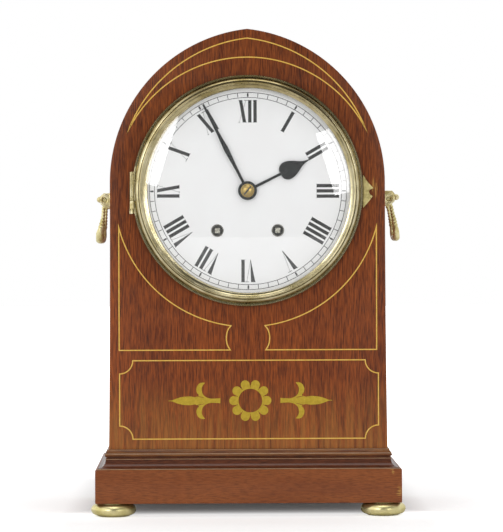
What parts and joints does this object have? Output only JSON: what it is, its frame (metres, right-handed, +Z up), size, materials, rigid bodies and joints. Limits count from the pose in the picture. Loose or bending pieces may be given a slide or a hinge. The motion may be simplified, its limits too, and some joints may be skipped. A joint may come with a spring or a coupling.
{
  "type": "bracket clock",
  "caption": "Lancet-arch wooden bracket clock with hinged glazed bezel, side bails, bun feet and a striking movement.",
  "frame": {"origin": "on the floor plane, under the middle of the clock's bounding box", "axes": "+Z up, -Y out of the dial towards the viewer, +X to the right of the dial as it is read"},
  "size_m": [0.2322, 0.1716, 0.3618],
  "materials": {
    "case_wood": "polished mahogany veneer",
    "moulding_wood": "polished mahogany, darker",
    "plinth_wood": "polished mahogany veneer, grain along",
    "inside_wood": "bare wood",
    "foot_brass": "polished brass",
    "fitting_brass": "satin brass",
    "bezel_brass": "turned brass, slightly aged",
    "movement_brass": "brushed brass",
    "steel": "bright steel",
    "blued_steel": "blued steel, nearly black",
    "iron": "black cast iron",
    "enamel": "glossy white enamel",
    "glass": "clear convex glass"
  },
  "bodies": {
    "case": {"front_board": "case_wood", "case_side_left": "case_wood", "case_side_right": "case_wood", "back_frame": "case_wood", "base_board": "inside_wood", "seat_board": "inside_wood", "base_moulding_front": "moulding_wood", "base_moulding_left": "moulding_wood", "base_moulding_right": "moulding_wood", "plinth_front": "plinth_wood", "plinth_left": "plinth_wood", "plinth_right": "plinth_wood", "plinth_back": "plinth_wood", "foot_front_left": "foot_brass", "foot_front_right": "foot_brass", "foot_back_left": "foot_brass", "foot_back_right": "foot_brass", "handle_plate_left": "fitting_brass", "handle_plate_right": "fitting_brass", "bezel_hinge_leaf": "bezel_brass", "bezel_hinge_pin": "steel", "dial": "enamel", "movement_front_plate": "movement_brass", "movement_back_plate": "movement_brass", "pendulum_cock": "movement_brass", "gong": "blued_steel", "gong_stand": "iron", "door_hinge_lower_frame_leaf": "fitting_brass", "door_hinge_upper_frame_leaf": "fitting_brass"},
    "bezel": {"bezel_ring": "bezel_brass", "bezel_glass": "glass", "glass_ring": "bezel_brass", "bezel_tab": "bezel_brass"},
    "back_door": {"back_door": "case_wood", "back_door_knob": "fitting_brass", "door_hinge_lower_door_leaf": "fitting_brass", "door_hinge_upper_door_leaf": "fitting_brass"},
    "handle_left": {"handle_bail_left": "fitting_brass"},
    "handle_right": {"handle_bail_right": "fitting_brass"},
    "minute_hand": {"minute_hand": "blued_steel", "hand_collet": "fitting_brass", "cannon_pinion": "steel"},
    "hour_hand": {"hour_hand": "blued_steel", "hour_wheel": "movement_brass"},
    "minute_wheel": {"minute_wheel": "movement_brass"},
    "centre_wheel": {"centre_wheel": "movement_brass"},
    "intermediate_wheel": {"intermediate_wheel": "movement_brass"},
    "going_barrel": {"going_barrel": "movement_brass"},
    "going_winding_arbor": {"going_winding_arbor": "steel"},
    "third_wheel": {"third_wheel": "movement_brass"},
    "escape_wheel": {"escape_wheel": "movement_brass"},
    "strike_barrel": {"strike_barrel": "movement_brass"},
    "strike_winding_arbor": {"strike_winding_arbor": "steel"},
    "strike_wheel": {"strike_wheel": "movement_brass"},
    "strike_fly": {"strike_fly": "movement_brass"},
    "pendulum": {"pendulum_rod": "steel", "pendulum_bob": "movement_brass", "rating_nut": "movement_brass"},
    "anchor": {"anchor": "steel"},
    "hammer": {"hammer": "steel"}
  },
  "joints": [
    {"name": "bezel_hinge", "type": "hinge", "parent": "case", "child": "bezel", "pos_m": [-0.0856, -0.0745, 0.241], "axis": [0, 0, -1], "range_deg": [0, 115]},
    {"name": "back_door_hinge", "type": "hinge", "parent": "case", "child": "back_door", "pos_m": [-0.0691, 0.07955, 0.1411], "axis": [0, 0, 1], "range_deg": [0, 110]},
    {"name": "handle_left_swing", "type": "hinge", "parent": "case", "child": "handle_left", "pos_m": [-0.1075, 0.0028, 0.235], "axis": [0, 1, 0], "range_deg": [0, 95]},
    {"name": "handle_right_swing", "type": "hinge", "parent": "case", "child": "handle_right", "pos_m": [0.1075, 0.0028, 0.235], "axis": [0, -1, 0], "range_deg": [0, 95]},
    {"name": "minute_hand_turn", "type": "hinge", "parent": "case", "child": "minute_hand", "pos_m": [0, -0.0722, 0.241], "axis": [0, 1, 0], "continuous": true},
    {"name": "hour_hand_turn", "type": "hinge", "parent": "case", "child": "hour_hand", "pos_m": [0, -0.0722, 0.241], "axis": [0, 1, 0], "continuous": true},
    {"name": "minute_wheel_turn", "type": "hinge", "parent": "case", "child": "minute_wheel", "pos_m": [-0.01353, -0.0722, 0.23607], "axis": [0, 1, 0], "continuous": true},
    {"name": "centre_wheel_turn", "type": "hinge", "parent": "case", "child": "centre_wheel", "pos_m": [0, -0.0722, 0.241], "axis": [0, 1, 0], "continuous": true},
    {"name": "intermediate_wheel_turn", "type": "hinge", "parent": "case", "child": "intermediate_wheel", "pos_m": [0.01636, -0.0722, 0.23478], "axis": [0, 1, 0], "continuous": true},
    {"name": "going_barrel_turn", "type": "hinge", "parent": "case", "child": "going_barrel", "pos_m": [0.0224, -0.0722, 0.2115], "axis": [0, 1, 0], "continuous": true},
    {"name": "going_winding", "type": "hinge", "parent": "case", "child": "going_winding_arbor", "pos_m": [0.0224, -0.0722, 0.2115], "axis": [0, 1, 0], "range_deg": [0, 1800]},
    {"name": "third_wheel_turn", "type": "hinge", "parent": "case", "child": "third_wheel", "pos_m": [-0.00287, -0.0722, 0.25725], "axis": [0, 1, 0], "continuous": true},
    {"name": "escape_wheel_turn", "type": "hinge", "parent": "case", "child": "escape_wheel", "pos_m": [0, -0.0722, 0.27081], "axis": [0, 1, 0], "continuous": true},
    {"name": "strike_barrel_turn", "type": "hinge", "parent": "case", "child": "strike_barrel", "pos_m": [-0.0224, -0.0722, 0.2115], "axis": [0, 1, 0], "continuous": true},
    {"name": "strike_winding", "type": "hinge", "parent": "case", "child": "strike_winding_arbor", "pos_m": [-0.0224, -0.0722, 0.2115], "axis": [0, 1, 0], "range_deg": [0, 1800]},
    {"name": "strike_wheel_turn", "type": "hinge", "parent": "case", "child": "strike_wheel", "pos_m": [-0.0245, -0.0722, 0.23546], "axis": [0, 1, 0], "continuous": true},
    {"name": "strike_fly_turn", "type": "hinge", "parent": "case", "child": "strike_fly", "pos_m": [-0.02745, -0.0722, 0.2522], "axis": [0, 1, 0], "continuous": true},
    {"name": "pendulum_swing", "type": "hinge", "parent": "case", "child": "pendulum", "pos_m": [0, -0.0722, 0.29], "axis": [0, 1, 0], "range_deg": [-3, 3]},
    {"name": "anchor_rock", "type": "hinge", "parent": "case", "child": "anchor", "pos_m": [0, -0.0722, 0.29], "axis": [0, 1, 0], "range_deg": [-3, 3]},
    {"name": "hammer_lift", "type": "hinge", "parent": "case", "child": "hammer", "pos_m": [-0.044, -0.0722, 0.221], "axis": [0, 1, 0], "range_deg": [0, 12]}
  ],
  "couplings": [
    {"joint": "hour_hand_turn", "follows": "minute_hand_turn", "ratio": 0.083333},
    {"joint": "minute_wheel_turn", "follows": "minute_hand_turn", "ratio": -0.33333},
    {"joint": "intermediate_wheel_turn", "follows": "centre_wheel_turn", "ratio": -0.16667},
    {"joint": "going_barrel_turn", "follows": "centre_wheel_turn", "ratio": 0.026042},
    {"joint": "third_wheel_turn", "follows": "centre_wheel_turn", "ratio": -10},
    {"joint": "escape_wheel_turn", "follows": "centre_wheel_turn", "ratio": 110},
    {"joint": "strike_wheel_turn", "follows": "strike_barrel_turn", "ratio": -6.4},
    {"joint": "strike_fly_turn", "follows": "strike_barrel_turn", "ratio": 48},
    {"joint": "anchor_rock", "follows": "pendulum_swing", "ratio": 1}
  ]
}
